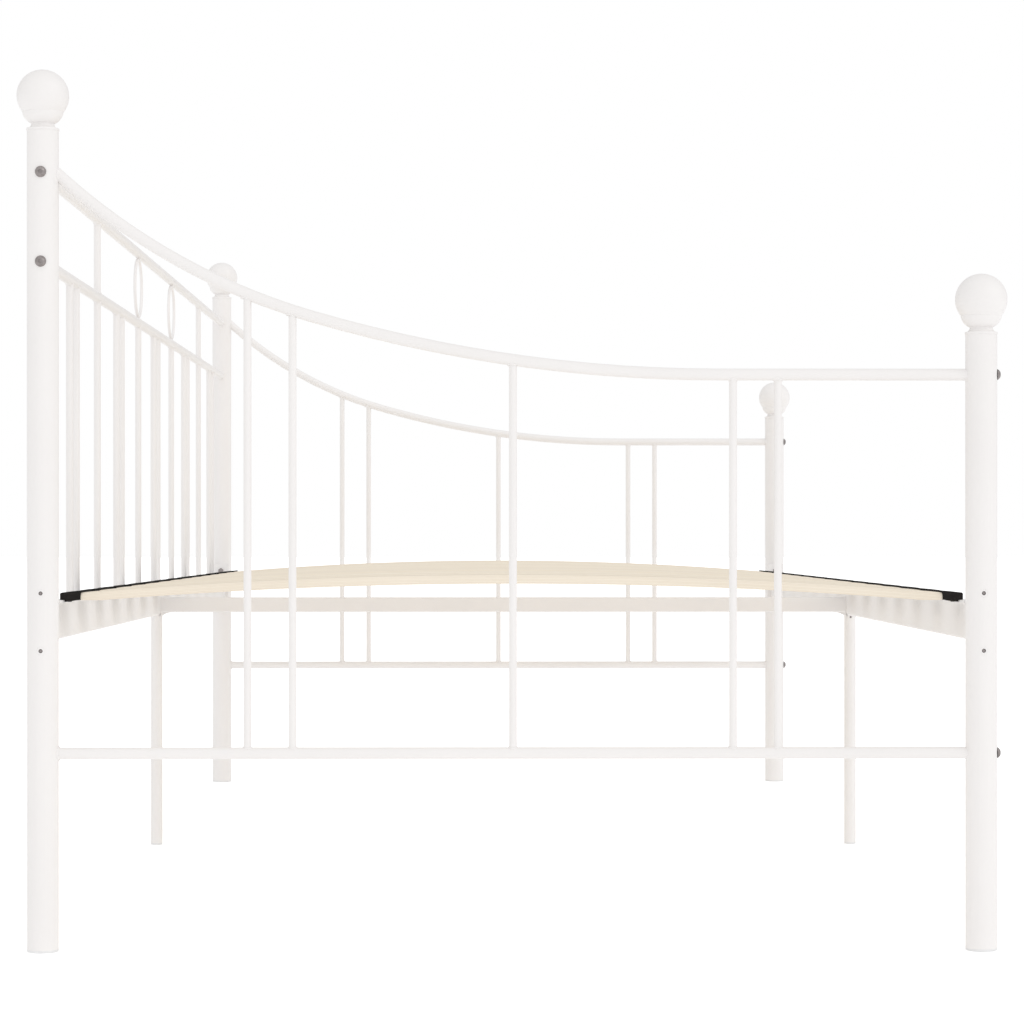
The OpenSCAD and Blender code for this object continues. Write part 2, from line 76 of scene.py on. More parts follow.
END_X = middle("front_post_right", 0)
POST_Y = middle("back_post_right", 1)
POST_R = span("front_post_right", 0) / 2
BACK_POST_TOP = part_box("back_post_left")[1].z
FRONT_POST_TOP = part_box("front_post_left")[1].z
FOOT_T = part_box("back_post_left")[0].z
RAIL_R = span("end_bottom_rail_left", 0) / 2
SPINDLE_R = span("end_spindles_left", 0) / 2
BOTTOM_RAIL_Z = middle("end_bottom_rail_left", 2)
TOP_RAIL_LOW_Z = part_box("end_top_rail_left")[0].z + RAIL_R
LOWER_RAILING_Z = middle("railing_lower_rail", 2)
UPPER_RAILING_Z = middle("railing_upper_rail", 2)
SIDE_RAIL_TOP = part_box("side_rail_back")[1].z
SIDE_RAIL_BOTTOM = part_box("side_rail_back")[0].z
SIDE_RAIL_INNER_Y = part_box("side_rail_back")[0].y
SIDE_RAIL_OUTER_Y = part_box("side_rail_back")[1].y
LEG_Y = middle("support_leg_back", 1)
LEG_R = span("support_leg_back", 0) / 2
BEAM_Z = middle("crossbeam", 2)
CROWN_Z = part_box("slat_01")[1].z
SLAT_NODES = [name for name in sorted(frame["nodes"]) if name.startswith("slat_") and name[5:].isdigit()]

# The design's own values that no box gives
SLAT_BEND_R = 5350 * MM
SLAT_T = 9.4 * MM
SLAT_EDGE_R = 3 * MM
SLAT_W = span("slat_01", 0)
SLAT_END_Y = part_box("slat_01")[1].y
SLAT_CENTRE_Z = CROWN_Z - SLAT_BEND_R
# The slats' ends are planed level underneath, and are thinner still where the caps hold them
SLAT_LEVEL_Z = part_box("slat_01")[0].z
REBATE_Y = 444.9 * MM
REBATE_T = 3 * MM
BOLT_SPACING = 58 * MM
SIDE_BOLT_ZS = [(SIDE_RAIL_TOP + SIDE_RAIL_BOTTOM) / 2 + s * BOLT_SPACING / 2 for s in (-1, 1)]


# ---- Materials ----

def new_material(name, base, roughness, metallic=0.0, specular=0.5):
    """A principled material; values that are the same all over sit on the shader's own sockets."""
    material = bpy.data.materials.new(name)
    material.use_nodes = True
    shader = material.node_tree.nodes["Principled BSDF"]
    shader.inputs["Base Color"].default_value = (*base, 1)
    shader.inputs["Roughness"].default_value = roughness
    shader.inputs["Metallic"].default_value = metallic
    shader.inputs["Specular IOR Level"].default_value = specular
    return material


class Nodes:
    """Short ways to add and join the nodes of a material or a world."""

    def __init__(self, owner):
        self.tree = owner.node_tree
        self.shader = self.tree.nodes.get("Principled BSDF")

    def add(self, kind, **settings):
        node = self.tree.nodes.new(kind)
        for key, value in settings.items():
            setattr(node, key, value)
        return node

    def link(self, source, target):
        self.tree.links.new(source, target)

    def coords(self):
        """Object coordinates, in metres."""
        return self.add("ShaderNodeTexCoord").outputs["Object"]

    def stretched(self, vector, scale):
        mapping = self.add("ShaderNodeMapping")
        mapping.inputs["Scale"].default_value = scale
        self.link(vector, mapping.inputs["Vector"])
        return mapping.outputs["Vector"]

    def noise(self, vector, scale, detail=2.0, roughness=0.5):
        node = self.add("ShaderNodeTexNoise")
        node.inputs["Scale"].default_value = scale
        node.inputs["Detail"].default_value = detail
        node.inputs["Roughness"].default_value = roughness
        self.link(vector, node.inputs["Vector"])
        return node.outputs["Fac"]

    def ramp(self, source, stops):
        """A colour ramp through (place, colour) stops."""
        node = self.add("ShaderNodeValToRGB")
        elements = node.color_ramp.elements
        while len(elements) < len(stops):
            elements.new(1.0)
        for element, (place, colour) in zip(elements, stops):
            element.position = place
            element.color = (*colour, 1)
        self.link(source, node.inputs["Fac"])
        return node.outputs["Color"]

    def remap(self, source, low, high, from_low=0.0, from_high=1.0, smooth=False):
        """Maps a range, by default 0 to 1, to another one."""
        node = self.add("ShaderNodeMapRange")
        if smooth:
            node.interpolation_type = "SMOOTHSTEP"
        limits = {"From Min": from_low, "From Max": from_high, "To Min": low, "To Max": high}
        for socket, value in limits.items():
            node.inputs[socket].default_value = value
        self.link(source, node.inputs["Value"])
        return node.outputs["Result"]

    def math(self, operation, a, b=None):
        node = self.add("ShaderNodeMath", operation=operation)
        for socket, value in zip(node.inputs, (a, b)):
            if value is None:
                continue
            if isinstance(value, (int, float)):
                socket.default_value = value
            else:
                self.link(value, socket)
        return node.outputs["Value"]

    def mix(self, factor, a, b, blend="MIX"):
        node = self.add("ShaderNodeMix", data_type="RGBA", blend_type=blend)
        # A mix node has a set of sockets for each data type: these are the factor and two colours
        for socket, value in zip([node.inputs[0], node.inputs[6], node.inputs[7]], (factor, a, b)):
            if isinstance(value, (int, float)):
                socket.default_value = value
            elif isinstance(value, tuple):
                socket.default_value = (*value, 1)
            else:
                self.link(value, socket)
        return node.outputs[2]

    def bump(self, height, strength, distance, normal=None):
        node = self.add("ShaderNodeBump")
        node.inputs["Strength"].default_value = strength
        node.inputs["Distance"].default_value = distance
        self.link(height, node.inputs["Height"])
        if normal:
            self.link(normal, node.inputs["Normal"])
        return node.outputs["Normal"]

    def colour(self, source):
        self.link(source, self.shader.inputs["Base Color"])

    def two_tones(self, cloud, dark, light):
        """Colours the surface between two tones, by a noise that stays near its middle."""
        self.colour(self.ramp(cloud, [(0.3, dark), (0.7, light)]))

    def roughness(self, source):
        self.link(source, self.shader.inputs["Roughness"])

    def normal(self, source):
        self.link(source, self.shader.inputs["Normal"])


def powder_coat():
    """White powder coat: satin, with a fine orange peel and a faint unevenness in tone."""
    material = new_material("powder_coat_white", (0.89, 0.868, 0.858), 0.42)
    n = Nodes(material)
    place = n.coords()
    n.two_tones(n.noise(place, 7, detail=3), (0.880, 0.858, 0.848), (0.900, 0.878, 0.868))
    n.roughness(n.remap(n.noise(place, 35), 0.36, 0.48))
    peel = n.bump(n.noise(place, 420), 0.10, 0.4 * MM)
    n.normal(n.bump(n.noise(place, 1900, detail=1), 0.06, 0.1 * MM, peel))
    return material


def white_plastic():
    """Moulded foot plastic, a touch cooler than the coated tubes."""
    material = new_material("foot_plastic_white", (0.84, 0.84, 0.84), 0.5)
    n = Nodes(material)
    place = n.coords()
    n.two_tones(n.noise(place, 60), (0.80, 0.80, 0.80), (0.85, 0.85, 0.85))
    n.roughness(n.remap(n.noise(place, 300), 0.42, 0.6))
    n.normal(n.bump(n.noise(place, 2600, detail=1), 0.12, 0.1 * MM))
    return material


def black_plastic():
    """Black moulded cap plastic with a fine spark-eroded texture."""
    material = new_material("cap_plastic_black", (0.023, 0.021, 0.020), 0.85, specular=0.06)
    n = Nodes(material)
    place = n.coords()
    n.two_tones(n.noise(place, 45, detail=3), (0.0195, 0.0176, 0.0166), (0.0250, 0.0226, 0.0213))
    n.roughness(n.remap(n.noise(place, 220), 0.70, 0.90))
    n.normal(n.bump(n.noise(place, 2200), 0.30, 0.12 * MM))
    return material


def dark_zinc():
    """Dark zinc plating on bolts, screws, inserts and bushes."""
    material = new_material("zinc_dark", (0.33, 0.30, 0.295), 0.38, metallic=1.0)
    n = Nodes(material)
    place = n.coords()
    patch = n.noise(place, 260, detail=4, roughness=0.6)
    n.two_tones(patch, (0.27, 0.245, 0.24), (0.39, 0.355, 0.35))
    n.roughness(n.remap(n.noise(place, 700), 0.30, 0.50))
    n.normal(n.bump(n.noise(place, 1500), 0.12, 0.08 * MM))
    return material


PLIES = 6
PLACE_ATTRIBUTE = "slat_place"
SHADE_ATTRIBUTE = "slat_shade"


def birch():
    """Laminated birch. The slats' own attributes give the place in a slat (across, along, depth)
    and each slat's own shade."""
    dark, middling, light = (0.835, 0.735, 0.590), (0.885, 0.792, 0.650), (0.915, 0.828, 0.697)
    # The first tone below is a painted highlight and reflection for the slats' long edges, not a wood tone
    painted_edge_sheen, fibre_tone, fleck_tone = (0.990, 0.930, 0.830), (0.78, 0.67, 0.51), (0.66, 0.52, 0.36)
    glue_tone, odd_ply_tone = (0.66, 0.53, 0.38), (0.72, 0.60, 0.44)
    cool_tint, no_tint, warm_tint = (0.965, 0.950, 0.930), (1.0, 1.0, 1.0), (1.0, 0.985, 0.955)
    shift_by_ply, shift_by_slat, squeeze = 3.7, 41.0, 4.0
    material = new_material("birch_laminate", (0.80, 0.70, 0.56), 0.5, specular=0.4)
    n = Nodes(material)
    place = n.add("ShaderNodeAttribute", attribute_name=PLACE_ATTRIBUTE).outputs["Vector"]
    shade = n.add("ShaderNodeAttribute", attribute_name=SHADE_ATTRIBUTE).outputs["Fac"]
    split = n.add("ShaderNodeSeparateXYZ")
    n.link(place, split.inputs["Vector"])
    depth = n.math("DIVIDE", split.outputs["Z"], SLAT_T / PLIES)

    # Each ply is its own sheet of veneer, so the figure jumps from ply to ply
    ply = n.math("FLOOR", n.math("MINIMUM", depth, PLIES - 0.01))
    shift = n.math("ADD", n.math("MULTIPLY", ply, shift_by_ply), n.math("MULTIPLY", shade, shift_by_slat))
    sheet = n.add("ShaderNodeCombineXYZ")
    n.link(n.math("ADD", split.outputs["X"], shift), sheet.inputs["X"])
    n.link(split.outputs["Y"], sheet.inputs["Y"])
    n.link(n.math("MULTIPLY", split.outputs["Z"], squeeze), sheet.inputs["Z"])
    veneer = sheet.outputs["Vector"]
    figure = n.noise(n.stretched(veneer, (38, 1.6, 38)), 1.0, detail=5, roughness=0.62)
    fibre = n.noise(n.stretched(veneer, (700, 9, 700)), 1.0, detail=3, roughness=0.7)
    fleck = n.noise(n.stretched(veneer, (260, 24, 260)), 1.0)
    base = n.ramp(figure, [(0.30, dark), (0.52, middling), (0.72, light)])

    # The long edges are painted a little lighter and whiter than the faces: a painted highlight and painted
    # reflection of the white surround on the slats' rounded edges
    across = n.math("ABSOLUTE", split.outputs["X"])
    edge_start, edge_end = SLAT_W / 2 - 2.6 * MM, SLAT_W / 2 - 0.8 * MM
    base = n.mix(n.remap(across, 0.0, 0.62, edge_start, edge_end, smooth=True), base, painted_edge_sheen)
    base = n.mix(n.remap(fibre, 0.0, 0.30, 0.42, 0.80), base, fibre_tone)
    base = n.mix(n.remap(fleck, 0.0, 0.25, 0.70, 0.86, smooth=True), base, fleck_tone)

    # Glue lines between plies show only on the cut edges
    to_line = n.math("ABSOLUTE", n.math("SUBTRACT", depth, n.math("ROUND", depth)))
    line = n.remap(to_line, 0.30, 0.0, 0.02, 0.10, smooth=True)
    inside = n.math("MULTIPLY", n.math("GREATER_THAN", depth, 0.5), n.math("LESS_THAN", depth, PLIES - 0.5))
    glue = n.math("MULTIPLY", line, inside)
    base = n.mix(glue, base, glue_tone)
    odd = n.math("MULTIPLY", n.math("MODULO", ply, 2.0), 0.08)
    base = n.mix(odd, base, odd_ply_tone)

    # Slats differ a little from each other
    tint = n.ramp(shade, [(0.0, cool_tint), (0.5, no_tint), (1.0, warm_tint)])
    n.colour(n.mix(1.0, base, tint, blend="MULTIPLY"))
    n.roughness(n.remap(fibre, 0.44, 0.60))
    grain = n.bump(fibre, 0.20, 0.12 * MM)
    n.normal(n.bump(n.math("SUBTRACT", 1.0, glue), 0.15, 0.1 * MM, grain))
    return material


STEEL = powder_coat()
FOOT = white_plastic()
CAP = black_plastic()
ZINC = dark_zinc()
WOOD = birch()


# ---- Mesh helpers ----

def repeats(ring, verts):
    """Whether a ring lies where the one before it does."""
    same = 1e-9
    return len(ring) == len(verts) and all((p - v.co).length < same for p, v in zip(ring, verts))


def loft(bm, rings):
    """A closed skin over rings of the same number of points. A ring of one point is a tip."""
    made = []
    for ring in rings:
        if not (made and repeats(ring, made[-1])):
            made.append([bm.verts.new(point) for point in ring])
    for a, b in zip(made, made[1:]):
        count = max(len(a), len(b))
        for i in range(count):
            j = (i + 1) % count
            if len(a) == 1:
                bm.faces.new((a[0], b[j], b[i]))
            elif len(b) == 1:
                bm.faces.new((a[i], a[j], b[0]))
            else:
                bm.faces.new((a[i], a[j], b[j], b[i]))
    if len(made[0]) > 1:
        bm.faces.new(list(reversed(made[0])))
    if len(made[-1]) > 1:
        bm.faces.new(made[-1])
    return [vert for ring in made for vert in ring]


def circle(radius, z, count):
    """A ring of points, or one point where the radius is 0."""
    if radius == 0:
        return [Vector((0, 0, z))]
    turn = 2 * math.pi / count
    return [Vector((radius * math.cos(i * turn), radius * math.sin(i * turn), z)) for i in range(count)]


def lathe(bm, profile, count=96):
    """Turns a profile of (radius, height) points about Z."""
    return loft(bm, [circle(r, z, count) for r, z in profile])


def arc(centre, radius, start, end, steps):
    """Points on an arc in a profile, angles in degrees."""
    turns = [math.radians(start + (end - start) * i / steps) for i in range(steps + 1)]
    return [(centre[0] + radius * math.cos(turn), centre[1] + radius * math.sin(turn)) for turn in turns]


def scaled(profile):
    """A profile drawn in millimetres, in metres."""
    return [(r * MM, z * MM) for r, z in profile]


def in_metres(verts):
    """Shrinks what was drawn in millimetres."""
    for vert in verts:
        vert.co *= MM
    return verts


def move(verts, matrix):
    for vert in verts:
        vert.co = matrix @ vert.co


def pointing(direction, place):
    """A matrix that turns +Z to a direction and moves the origin to a place."""
    return Matrix.Translation(place) @ Vector(direction).to_track_quat("Z", "Y").to_matrix().to_4x4()


def as_object(name, bm):
    """A plain object from a bmesh, linked to the scene."""
    mesh = bpy.data.meshes.new(name)
    bm.to_mesh(mesh)
    bm.free()
    thing = bpy.data.objects.new(name, mesh)
    bpy.context.scene.collection.objects.link(thing)
    return thing


def finish_piece(name, bm, material, replaces=(), sharp_angle=38, weighted=True, turn_faces=True):
    """Makes the object from a bmesh, rides it on the frame and hides the CAD nodes it stands for."""
    if turn_faces:
        bmesh.ops.recalc_face_normals(bm, faces=bm.faces)
    piece = as_object(name, bm)
    piece.data.shade_smooth()
    piece.data.set_sharp_from_angle(angle=math.radians(sharp_angle))
    piece.data.materials.append(material)
    if weighted:
        modifier = piece.modifiers.new("even_normals", "WEIGHTED_NORMAL")
        modifier.keep_sharp = True
    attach(piece, "root")
    if replaces:
        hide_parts(*replaces)
    return piece


# ---- Finials ----

def finial_profile():
    """The turned outline from the spigot's end to the top of the ball, in millimetres."""
    spigot_r, spigot_l, chamfer = 14.3, 20.0, 1
    flange_r, flange_h, flange_edge = 16.6, 2.5, 0.5
    flare_centre, flare_r, flare_start = (16.3, 7.3), 4.8, -108
    bowl_centre, bowl_r, bowl_end = (6.1, 20.9), 14.66, -9
    rim_r, rim_z, rim_edge, rim_turn = 20.6, 19.0, 0.35, 60
    ball_r, ball_z = 26.285, 35.5

    profile = [(0, -spigot_l), (spigot_r - chamfer, -spigot_l), (spigot_r, chamfer - spigot_l), (spigot_r, 0)]
    profile += arc((flange_r - flange_edge, flange_edge), flange_edge, -90, 0, 4)
    profile += arc((flange_r - flange_edge, flange_h - flange_edge), flange_edge, 0, 90, 4)
    profile += arc(flare_centre, flare_r, flare_start, -180, 10)
    neck_r, neck_z = flare_centre[0] - flare_r, flare_centre[1]
    bowl_start = math.degrees(math.atan2(neck_z - bowl_centre[1], neck_r - bowl_centre[0]))
    profile += arc(bowl_centre, bowl_r, bowl_start, bowl_end, 14)
    profile += arc((rim_r - rim_edge, rim_z - rim_edge), rim_edge, 0, rim_turn, 3)
    ball_start = math.degrees(math.asin((rim_z + rim_edge - ball_z) / ball_r))
    profile += arc((0, ball_z), ball_r, ball_start, 90, 40)[:-1]
    return scaled(profile + [(0, ball_z + ball_r)])


def build_finials():
    profile = finial_profile()
    for depth, label, top in ((BACK, "back", BACK_POST_TOP), (FRONT, "front", FRONT_POST_TOP)):
        for side, hand in ((LEFT, "left"), (RIGHT, "right")):
            bm = bmesh.new()
            verts = lathe(bm, profile, 128)
            move(verts, Matrix.Translation((side * END_X, depth * POST_Y, top)))
            name = f"{label}_finial_{hand}"
            finish_piece(name + "_turned", bm, STEEL, [name], sharp_angle=30)


# ---- Plastic feet ----

def foot_profile(tube_r):
    """A tube's plug with a rounded lower edge and a fine shadow line under the tube."""
    outer_r, foot_t = tube_r / MM, FOOT_T / MM
    spigot_r, spigot_l, chamfer = outer_r - 1.7, 18.0, 1
    edge, line = 0.8, 0.15
    lower = arc((outer_r - edge, edge), edge, -90, 0, 6)
    upper = [(outer_r, foot_t - line), (outer_r - line, foot_t), (spigot_r, foot_t)]
    top_z = foot_t + spigot_l
    top = [(spigot_r, top_z - chamfer), (spigot_r - chamfer, top_z), (0, top_z)]
    return scaled([(0, 0), (outer_r / 2, 0)] + lower + upper + top)


def build_feet():
    bm = bmesh.new()
    for side in SIDES:
        for depth in DEPTHS:
            verts = lathe(bm, foot_profile(POST_R))
            move(verts, Matrix.Translation((side * END_X, depth * POST_Y, 0)))
    finish_piece("post_feet_moulded", bm, FOOT, ["post_feet"])
    bm = bmesh.new()
    for depth in DEPTHS:
        verts = lathe(bm, foot_profile(LEG_R), 64)
        move(verts, Matrix.Translation((0, depth * LEG_Y, 0)))
    finish_piece("leg_feet_moulded", bm, FOOT, ["leg_feet"])


# ---- Bolts and screws ----

HEX_COUNT = 48
# Radius of a hex socket's round mouth, over the width across its flats
MOUTH = 0.64


def hexagon(across_flats, z):
    """A hexagon drawn with as many points as the rings round it."""
    points = []
    for i in range(HEX_COUNT):
        turn = 2 * math.pi * i / HEX_COUNT
        off_flat = (turn + math.pi / 6) % (math.pi / 3) - math.pi / 6
        radius = across_flats / 2 / math.cos(off_flat)
        points.append(Vector((radius * math.cos(turn), radius * math.sin(turn), z)))
    return points


def threads(radius, start, end, pitch):
    """Rings of a simple thread, cut into a shank from one height down to another."""
    root = 0.88
    rings = []
    for i in range(int((start - end) / pitch)):
        z = start - i * pitch
        rings += [(radius, z), (radius * root, z - pitch / 2)]
    return rings


def shank(shank_r, shank_l, thread_l, pitch):
    """The profile of a shank below z = 0, threaded towards its end. Millimetres."""
    point_l, end_r = 0.8, 0.7 * shank_r
    profile = [(shank_r, 0), (shank_r, thread_l - shank_l)]
    profile += threads(shank_r, thread_l - shank_l, point_l - shank_l, pitch)
    return profile + [(shank_r * 0.8, point_l / 2 - shank_l), (end_r, -shank_l), (0, -shank_l)]


def domed_bolt(bm, head_r, apex, socket, floor, shank_profile):
    """A bolt whose head is a cap of a sphere over z = 0, with a hex socket. Millimetres."""
    drill_point, mouth_h, steps = 0.3, 0.25, 12
    rim = [(head_r - 0.1, 0.12), (head_r - 0.25, 0)]
    dome_r = (head_r ** 2 + apex ** 2) / (2 * apex)
    centre_z = apex - dome_r
    mouth_r = socket * MOUTH
    mouth_z = centre_z + math.sqrt(dome_r ** 2 - mouth_r ** 2)
    rings = [[Vector((0, 0, floor - drill_point))], hexagon(socket, floor)]
    rings.append(hexagon(socket, mouth_z - mouth_h))
    start = math.asin(mouth_r / dome_r)
    end = math.asin(head_r / dome_r)
    profile = []
    for i in range(steps):
        turn = start + (end - start) * i / steps
        profile.append((dome_r * math.sin(turn), centre_z + dome_r * math.cos(turn)))
    rings += [circle(r, z, HEX_COUNT) for r, z in profile + rim + shank_profile]
    return in_metres(loft(bm, rings))


def hex_bolt(bm, across_flats, head_h, shank_profile):
    """A bolt with a hex head whose corners are chamfered by a cone over z = 0. Millimetres."""
    face_r = across_flats / 2 * 0.95
    slope = math.tan(math.radians(30))
    dish_r, lip_r, dish_z, edge = face_r * 0.72, face_r * 0.80, head_h - 0.25, 0.1
    shoulder = []
    for point in hexagon(across_flats, 0):
        drop = max(0.0, point.length - face_r) * slope
        shoulder.append(Vector((point.x, point.y, head_h - drop)))
    rings = [[Vector((0, 0, dish_z))], circle(dish_r, dish_z, HEX_COUNT)]
    rings += [circle(lip_r, head_h, HEX_COUNT), circle(face_r, head_h, HEX_COUNT), shoulder]
    rings += [hexagon(across_flats, edge), hexagon(across_flats - 2 * edge, 0)]
    rings += [circle(r, z, HEX_COUNT) for r, z in shank_profile]
    return in_metres(loft(bm, rings))


def set_screw(bm, radius, length, socket):
    """A headless screw below z = 0 with a hex socket in its end. Millimetres."""
    chamfer, drill_point, pitch = 0.2, 0.2, 0.5
    floor = -0.8 * socket
    rings = [[Vector((0, 0, floor - drill_point))], hexagon(socket, floor), hexagon(socket, -chamfer)]
    profile = [(socket * MOUTH, 0), (radius - chamfer, 0), (radius, -chamfer)]
    profile += shank(radius, length, length - pitch, pitch)[1:]
    rings += [circle(r, z, HEX_COUNT) for r, z in profile]
    return in_metres(loft(bm, rings))


def big_bolt(bm, through):
    """The bolt that holds rails and beam, behind parts of one thickness, in metres."""
    head_r, head_h, socket, socket_floor = 5.8, 3.9, 4, 1.5
    shank_r, past, thread_l, pitch = 3, 25, 20, 1.0
    shank_profile = shank(shank_r, through / MM + past, thread_l, pitch)
    return domed_bolt(bm, head_r, head_h, socket, socket_floor, shank_profile)


def build_big_bolts():
    bm = bmesh.new()
    for side in SIDES:
        for z in (LOWER_RAILING_Z, UPPER_RAILING_Z):
            place = (side * (END_X + POST_R), POST_Y, z)
            move(big_bolt(bm, 2 * POST_R), pointing((side, 0, 0), place))
    finish_piece("railing_bolts_zinc", bm, ZINC, ["railing_bolts"])

    bm = bmesh.new()
    for side in SIDES:
        for z in (BOTTOM_RAIL_Z, TOP_RAIL_LOW_Z):
            place = (side * END_X, -POST_Y - POST_R, z)
            move(big_bolt(bm, 2 * POST_R), pointing((0, FRONT, 0), place))
    finish_piece("panel_bolts_zinc", bm, ZINC, ["panel_bolts"])

    bm = bmesh.new()
    for depth in DEPTHS:
        place = (0, depth * SIDE_RAIL_OUTER_Y, BEAM_Z)
        move(big_bolt(bm, span("side_rail_back", 1)), pointing((0, depth, 0), place))
    finish_piece("beam_bolts_zinc", bm, ZINC, ["beam_bolts"])


def build_side_rail_bolts():
    """Hex bolts from the inner side of the end plates to just inside the bushes' mouths."""
    head_af, head_h = 8, 3
    shank_r, thread_l, pitch = 2, 12, 0.7
    plate_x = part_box("side_rail_back")[1].x
    reach = (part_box("side_rail_bolts")[1].x - plate_x) / MM
    bm = bmesh.new()
    for side in SIDES:
        for depth in DEPTHS:
            for z in SIDE_BOLT_ZS:
                verts = hex_bolt(bm, head_af, head_h, shank(shank_r, reach, thread_l, pitch))
                move(verts, pointing((-side, 0, 0), (side * plate_x, depth * POST_Y, z)))
    finish_piece("side_rail_bolts_zinc", bm, ZINC, ["side_rail_bolts"], sharp_angle=25)


def build_leg_screws():
    """Headless screws from just below the legs' surface nearly to their middles."""
    socket, short_of_middle = 1.3, 1
    screw_r, screw_z = span("leg_screws", 2) / 2, middle("leg_screws", 2)
    end_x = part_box("leg_screws")[1].x
    bm = bmesh.new()
    for depth in DEPTHS:
        verts = set_screw(bm, screw_r / MM, end_x / MM - short_of_middle, socket)
        move(verts, pointing((depth, 0, 0), (depth * end_x, depth * LEG_Y, screw_z)))
    finish_piece("leg_screws_zinc", bm, ZINC, ["leg_screws"])


# ---- Slats ----

def rounded_section(width, height, radius, steps):
    """A rounded rectangle as (across, depth) points, depth counted down from the top."""
    points = []
    for sx, sd, start in ((1, -1, -90), (1, 1, 0), (-1, 1, 90), (-1, -1, 180)):
        centre = (sx * (width / 2 - radius), height / 2 + sd * (height / 2 - radius))
        points += arc(centre, radius, start, start + 90, steps)
    return points


def slat_point(across, along, depth):
    """A place in a bent slat: along is the length of arc from the bed's middle."""
    turn = along / SLAT_BEND_R
    radius = SLAT_BEND_R - depth
    return Vector((across, radius * math.sin(turn), SLAT_CENTRE_Z + radius * math.cos(turn)))


def thinned(along, depth, gap=0.0):
    """A depth in the slat, held to the planed and thinned underside at the ends."""
    level = SLAT_BEND_R - (SLAT_LEVEL_Z - gap - SLAT_CENTRE_Z) / math.cos(along / SLAT_BEND_R)
    depth = min(depth, level)
    return min(depth, SLAT_T - REBATE_T + gap) if abs(along) >= arc_at(REBATE_Y) - gap else depth


def arc_at(y):
    """Length of arc from the bed's middle to a place across the bed."""
    return SLAT_BEND_R * math.asin(y / SLAT_BEND_R)


def slat_rings():
    """A slat's rings of (across, along, depth), its two ends eased by a small chamfer."""
    steps, step_l, end_ease = 64, 0.3 * MM, 0.4 * MM
    section = rounded_section(SLAT_W, SLAT_T, SLAT_EDGE_R, 6)
    half_arc, step_arc = arc_at(SLAT_END_Y), arc_at(REBATE_Y)
    near = [(step_arc * i / steps, 0) for i in range(1, steps)]
    near += [(step_arc - step_l, 0), (step_arc, 0), (half_arc - end_ease, 0), (half_arc, end_ease)]
    stations = [(-along, inset) for along, inset in reversed(near)] + [(0, 0)] + near
    rings = []
    for along, inset in stations:
        shrink_x = 1 - 2 * inset / SLAT_W
        shrink_d = 1 - 2 * inset / SLAT_T
        rings.append([(x * shrink_x, along, thinned(along, SLAT_T / 2 + (d - SLAT_T / 2) * shrink_d))
                      for x, d in section])
    return rings


def build_slats():
    rng = random.Random(14)
    rings = slat_rings()
    places = [point for ring in rings for point in ring]
    for node in SLAT_NODES:
        bm = bmesh.new()
        place = bm.verts.layers.float_vector.new(PLACE_ATTRIBUTE)
        tone = bm.verts.layers.float.new(SHADE_ATTRIBUTE)
        shade = rng.random()
        centre_x = middle(node, 0)
        verts = loft(bm, [[slat_point(*point) for point in ring] for ring in rings])
        for vert, point in zip(verts, places):
            vert[place] = Vector(point)
            vert[tone] = shade
            vert.co.x += centre_x
        finish_piece(node + "_birch", bm, WOOD, [node], sharp_angle=50)


# ---- Slat end caps ----

CAP_LENGTH = 24
CAP_ROOF = 1.8
CAP_FLOOR = 1
CAP_HEIGHT = (SLAT_T - REBATE_T) / MM + CAP_FLOOR + CAP_ROOF
LEDGE_LOW, LEDGE_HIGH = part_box("slat_ledge_back")


def on_line(start, end, y):
    """The place on a line in (Y, Z) at a given Y."""
    return Vector((y, start.y + (end.y - start.y) * (y - start.x) / (end.x - start.x)))


def cap_outline():
    """The cap's side outline as (Y, Z) in millimetres on the +Y side, with a radius per corner.

    The cap's own axes are level with the slat's end: a roof and a floor over and under the slat, a
    nose that lies on the ledge and a short hook in front of the ledge.
    """
    end_gap = 2
    end_y = SIDE_RAIL_INNER_Y / MM - end_gap
    mid_y = end_y - CAP_LENGTH / 2
    bend = SLAT_BEND_R / MM
    tilt = -math.asin(mid_y / bend)
    mid_r = bend + CAP_ROOF - CAP_HEIGHT / 2
    mid_z = SLAT_CENTRE_Z / MM + math.sqrt(mid_r ** 2 - mid_y ** 2)
    half_l, half_h = CAP_LENGTH / 2, CAP_HEIGHT / 2
    roof_start, floor_start, waist_start, waist_drop = 1, 3.4, 2.6, 3.0
    hook_gap, hook_w, hook_h, hook_slant = 0.9, 2.8, 0.8, 0.3

    def out(y, z):
        """From the cap's own tilted axes to (Y, Z)."""
        cosine, sine = math.cos(tilt), math.sin(tilt)
        return Vector((mid_y + y * cosine - z * sine, mid_z + y * sine + z * cosine))

    level_z = LEDGE_HIGH.z / MM
    top_inner, top_outer = out(roof_start - half_l, half_h), out(half_l, half_h)
    bottom_inner, bottom_outer = out(floor_start - half_l, -half_h), out(half_l, -half_h)
    hook_y = LEDGE_LOW.y / MM - hook_gap
    hook_inner = on_line(bottom_inner, bottom_outer, hook_y - hook_w)
    hook_low = hook_inner.y - hook_h
    return [
        (top_inner, 0.5),
        (on_line(top_inner, top_outer, end_y), 1.9),
        (Vector((end_y, level_z)), 0.9),
        (Vector((hook_y, level_z)), 0.25),
        (Vector((hook_y, hook_low)), 0.5),
        (Vector((hook_inner.x + hook_slant, hook_low)), 0.35),
        (hook_inner, 0.3),
        (bottom_inner, 1.6),
        (out(waist_start - half_l, half_h - waist_drop), 3.0),
    ]


def turn_of(corners, i):
    """The two unit directions out of a corner, and whether it is convex in an outline."""
    corner = corners[i][0]
    before = (corners[i - 1][0] - corner).normalized()
    after = (corners[(i + 1) % len(corners)][0] - corner).normalized()
    return before, after, before.cross(after) > 0


